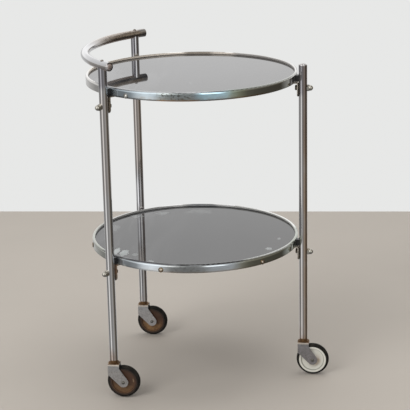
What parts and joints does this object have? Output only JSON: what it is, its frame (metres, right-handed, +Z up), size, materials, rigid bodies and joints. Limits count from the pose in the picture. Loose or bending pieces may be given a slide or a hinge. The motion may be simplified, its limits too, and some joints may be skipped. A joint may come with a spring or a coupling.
{
  "type": "bar cart",
  "caption": "Round two-tier bar cart: black glass trays in chromed rims, tube legs with an arc handle, and swivel casters.",
  "frame": {"origin": "on the floor, at the middle of the footprint of the whole cart with its casters as stored", "axes": "+Z up, +X from the handle towards the single front leg, +Y to the left of someone pushing the cart by its handle"},
  "size_m": [0.5851, 0.5, 0.8131],
  "materials": {
    "leg_chrome": "worn polished chrome with fine scratches and light rust haze",
    "handle_chrome": "hand-worn chrome, brighter at the bow",
    "rim_chrome": "aged chrome with grey-green patina and a rusty lower edge",
    "black_glass": "opaque black glass, polished",
    "base_board": "dark stained hardboard",
    "strap_steel": "plated steel strap with rust and tarnish",
    "plain_steel": "dull steel",
    "rusty_steel": "rusty steel",
    "fork_zinc": "dull zinc plate with rust on the top face",
    "brass": "tarnished brass",
    "nickel": "nickel-plated brass, tarnished",
    "rubber": "black rubber",
    "tyre": "worn black rubber tyre",
    "hub_brown": "dark brown moulded plastic, dusty",
    "hub_cream": "cream moulded plastic, slightly soiled"
  },
  "bodies": {
    "cart": {"leg_left": "leg_chrome", "leg_right": "leg_chrome", "leg_front": "leg_chrome", "leg_front_cap": "handle_chrome", "leg_plug_left": "plain_steel", "leg_plug_right": "plain_steel", "handle_tube": "handle_chrome", "handle_cap_left": "handle_chrome", "handle_cap_right": "handle_chrome", "handle_screws": "handle_chrome", "upper_rim": "rim_chrome", "upper_glass": "black_glass", "upper_board": "base_board", "upper_rim_screws": "brass", "lower_rim": "rim_chrome", "lower_glass": "black_glass", "lower_board": "base_board", "lower_rim_screws": "brass", "rim_screw_cups": "brass", "upper_bracket_left": "strap_steel", "upper_bracket_right": "strap_steel", "upper_bracket_front": "strap_steel", "lower_bracket_left": "strap_steel", "lower_bracket_right": "strap_steel", "lower_bracket_front": "strap_steel", "upper_spacer_left": "rubber", "upper_spacer_right": "rubber", "upper_spacer_front": "rubber", "lower_spacer_left": "rubber", "lower_spacer_right": "rubber", "lower_spacer_front": "rubber", "bracket_screws": "brass", "leg_bolts": "plain_steel", "cap_nuts": "nickel", "socket_left": "plain_steel", "socket_right": "plain_steel", "socket_front": "plain_steel"},
    "caster_left": {"stem_left": "plain_steel", "washer_left": "rusty_steel", "fork_left": "fork_zinc", "axle_left": "plain_steel"},
    "wheel_left": {"bush_left": "plain_steel", "hub_left": "hub_brown", "tyre_left": "tyre"},
    "caster_right": {"stem_right": "plain_steel", "washer_right": "rusty_steel", "fork_right": "fork_zinc", "axle_right": "plain_steel"},
    "wheel_right": {"bush_right": "plain_steel", "hub_right": "hub_brown", "tyre_right": "tyre"},
    "caster_front": {"stem_front": "plain_steel", "washer_front": "rusty_steel", "fork_front": "fork_zinc", "axle_front": "plain_steel"},
    "wheel_front": {"bush_front": "plain_steel", "hub_front": "hub_cream", "tyre_front": "tyre"}
  },
  "joints": [
    {"name": "swivel_left", "type": "hinge", "parent": "cart", "child": "caster_left", "pos_m": [-0.20658, 0.20453, 0.0935], "axis": [0, 0, 1], "continuous": true},
    {"name": "roll_left", "type": "hinge", "parent": "caster_left", "child": "wheel_left", "pos_m": [-0.18408, 0.20453, 0.0395], "axis": [0, 1, 0], "continuous": true},
    {"name": "swivel_right", "type": "hinge", "parent": "cart", "child": "caster_right", "pos_m": [-0.20658, -0.20453, 0.0935], "axis": [0, 0, 1], "continuous": true},
    {"name": "roll_right", "type": "hinge", "parent": "caster_right", "child": "wheel_right", "pos_m": [-0.18408, -0.20453, 0.0395], "axis": [0, 1, 0], "continuous": true},
    {"name": "swivel_front", "type": "hinge", "parent": "cart", "child": "caster_front", "pos_m": [0.23058, -0.02791, 0.0935], "axis": [0, 0, 1], "continuous": true},
    {"name": "roll_front", "type": "hinge", "parent": "caster_front", "child": "wheel_front", "pos_m": [0.25308, -0.02791, 0.0395], "axis": [0, 1, 0], "continuous": true}
  ]
}
